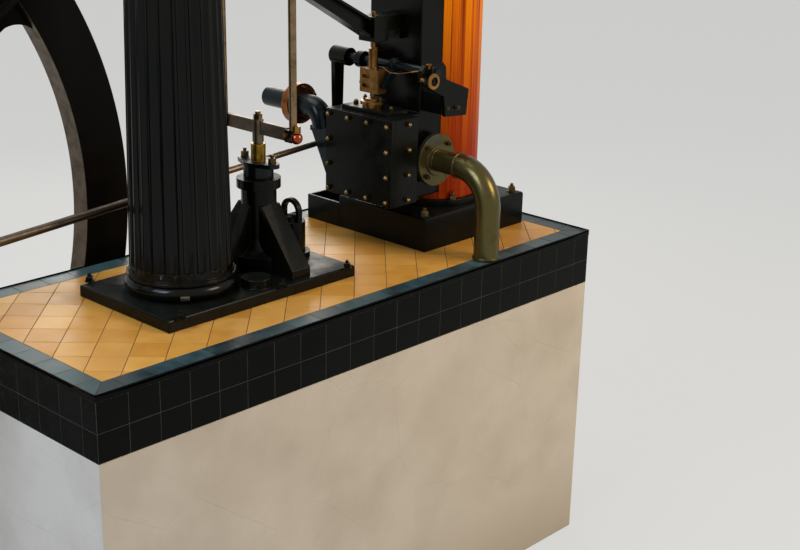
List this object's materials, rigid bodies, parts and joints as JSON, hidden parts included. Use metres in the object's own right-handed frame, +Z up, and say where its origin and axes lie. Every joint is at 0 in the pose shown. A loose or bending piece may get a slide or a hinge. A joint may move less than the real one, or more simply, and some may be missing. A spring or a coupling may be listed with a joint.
{
  "type": "beam engine",
  "caption": "Rotative beam engine on one fluted column, with flywheel, lagged cylinder, valve chest and feed pump, on a tiled plinth and foundation.",
  "frame": {"origin": "the column's axis where it meets the ground under the foundation", "axes": "+Z up, +X along the beam towards the cylinder, +Y across it towards the flywheel"},
  "size_m": [5.7935, 1.87, 5.0999],
  "materials": {
    "plastered_masonry": "matt lime plaster over masonry",
    "black_tile": "glazed",
    "slate_tile": "satin",
    "ochre_tile": "satin",
    "machine_iron": "gloss paint",
    "flywheel_iron": "satin paint",
    "bright_steel": "browned",
    "brass": "tarnished",
    "bronzed_pipe": "bronzed",
    "wood_lagging": "varnished"
  },
  "bodies": {
    "root": {"foundation": "plastered_masonry", "inner_bearing_pier": "plastered_masonry", "outer_bearing_pier": "plastered_masonry", "side_tiling": "black_tile", "border_tiling": "slate_tile", "floor_tiling": "ochre_tile", "bed_plate": "machine_iron", "column_base": "machine_iron", "column_shaft": "machine_iron", "column_capital": "machine_iron", "beam_pedestal": "machine_iron", "beam_bearing_caps": "machine_iron", "cylinder_base": "machine_iron", "drain_box": "machine_iron", "cylinder_body": "machine_iron", "cylinder_lagging": "wood_lagging", "cylinder_cover": "machine_iron", "crosshead_guides": "machine_iron", "valve_chest": "machine_iron", "chest_cover": "machine_iron", "valve_gland": "brass", "steam_passage": "machine_iron", "column_brace": "machine_iron", "spindle_guide": "machine_iron", "rocker_bracket": "machine_iron", "exhaust_pipe": "bronzed_pipe", "steam_inlet": "machine_iron", "pump_body": "machine_iron", "pump_gland": "machine_iron", "pump_valve_box": "machine_iron", "pump_stirrup": "machine_iron", "shaft_bearings": "machine_iron"},
    "flywheel_shaft": {"crank": "machine_iron", "crankshaft": "bright_steel", "flywheel_rim": "flywheel_iron", "flywheel_arms": "flywheel_iron", "eccentric_sheave": "bright_steel"},
    "beam": {"beam": "machine_iron", "beam_gudgeon": "bright_steel", "beam_end_pins": "bright_steel", "pump_cross_shaft": "bright_steel"},
    "main_links": {"main_links": "bright_steel"},
    "connecting_rod": {"connecting_rod": "bright_steel"},
    "piston": {"piston_rod": "bright_steel", "crosshead": "bright_steel"},
    "pump_rods": {"pump_crossbar": "bright_steel", "pump_side_rods": "bright_steel"},
    "rocker": {"rocker_shaft": "bright_steel", "rocker_lever": "machine_iron"},
    "valve_spindle": {"valve_spindle": "brass"},
    "eccentric_rod": {"eccentric_rod": "bright_steel"}
  },
  "joints": [
    {"name": "shaft_turn", "type": "hinge", "parent": "root", "child": "flywheel_shaft", "pos_m": [-1.66752, 0, 2.054], "axis": [0, 1, 0], "continuous": true},
    {"name": "beam_rock", "type": "hinge", "parent": "root", "child": "beam", "pos_m": [0, 0, 4.5], "axis": [0, -1, 0], "range_deg": [0, 34.11]},
    {"name": "link_swing", "type": "hinge", "parent": "beam", "child": "main_links", "pos_m": [1.63004, 0, 4], "axis": [0, -1, 0], "range_deg": [-34.12, 0]},
    {"name": "rod_swing", "type": "hinge", "parent": "beam", "child": "connecting_rod", "pos_m": [-1.63004, 0, 5], "axis": [0, -1, 0], "range_deg": [-34.12, 0]},
    {"name": "piston_stroke", "type": "slide", "parent": "root", "child": "piston", "axis": [0, 0, 1], "range_m": [0, 1.0005]},
    {"name": "pump_stroke", "type": "slide", "parent": "root", "child": "pump_rods", "axis": [0, 0, 1], "range_m": [0, 0.27733]},
    {"name": "rocker_swing", "type": "hinge", "parent": "root", "child": "rocker", "pos_m": [1.28952, 0, 2.657], "axis": [0, 1, 0], "range_deg": [-7.1, 7.1]},
    {"name": "spindle_lift", "type": "slide", "parent": "root", "child": "valve_spindle", "axis": [0, 0, 1], "range_m": [-0.0101, 0.0101]},
    {"name": "eccentric_swing", "type": "hinge", "parent": "flywheel_shaft", "child": "eccentric_rod", "pos_m": [-1.66752, 0, 1.999], "axis": [0, 1, 0], "continuous": true}
  ],
  "couplings": [
    {"joint": "link_swing", "follows": "beam_rock", "ratio": -1},
    {"joint": "rod_swing", "follows": "beam_rock", "ratio": -1},
    {"joint": "piston_stroke", "follows": "beam_rock", "m_per_rad": 1.6799},
    {"joint": "pump_stroke", "follows": "beam_rock", "m_per_rad": 0.46506},
    {"joint": "spindle_lift", "follows": "rocker_swing", "m_per_rad": 0.08},
    {"joint": "eccentric_swing", "follows": "shaft_turn", "ratio": -1}
  ]
}
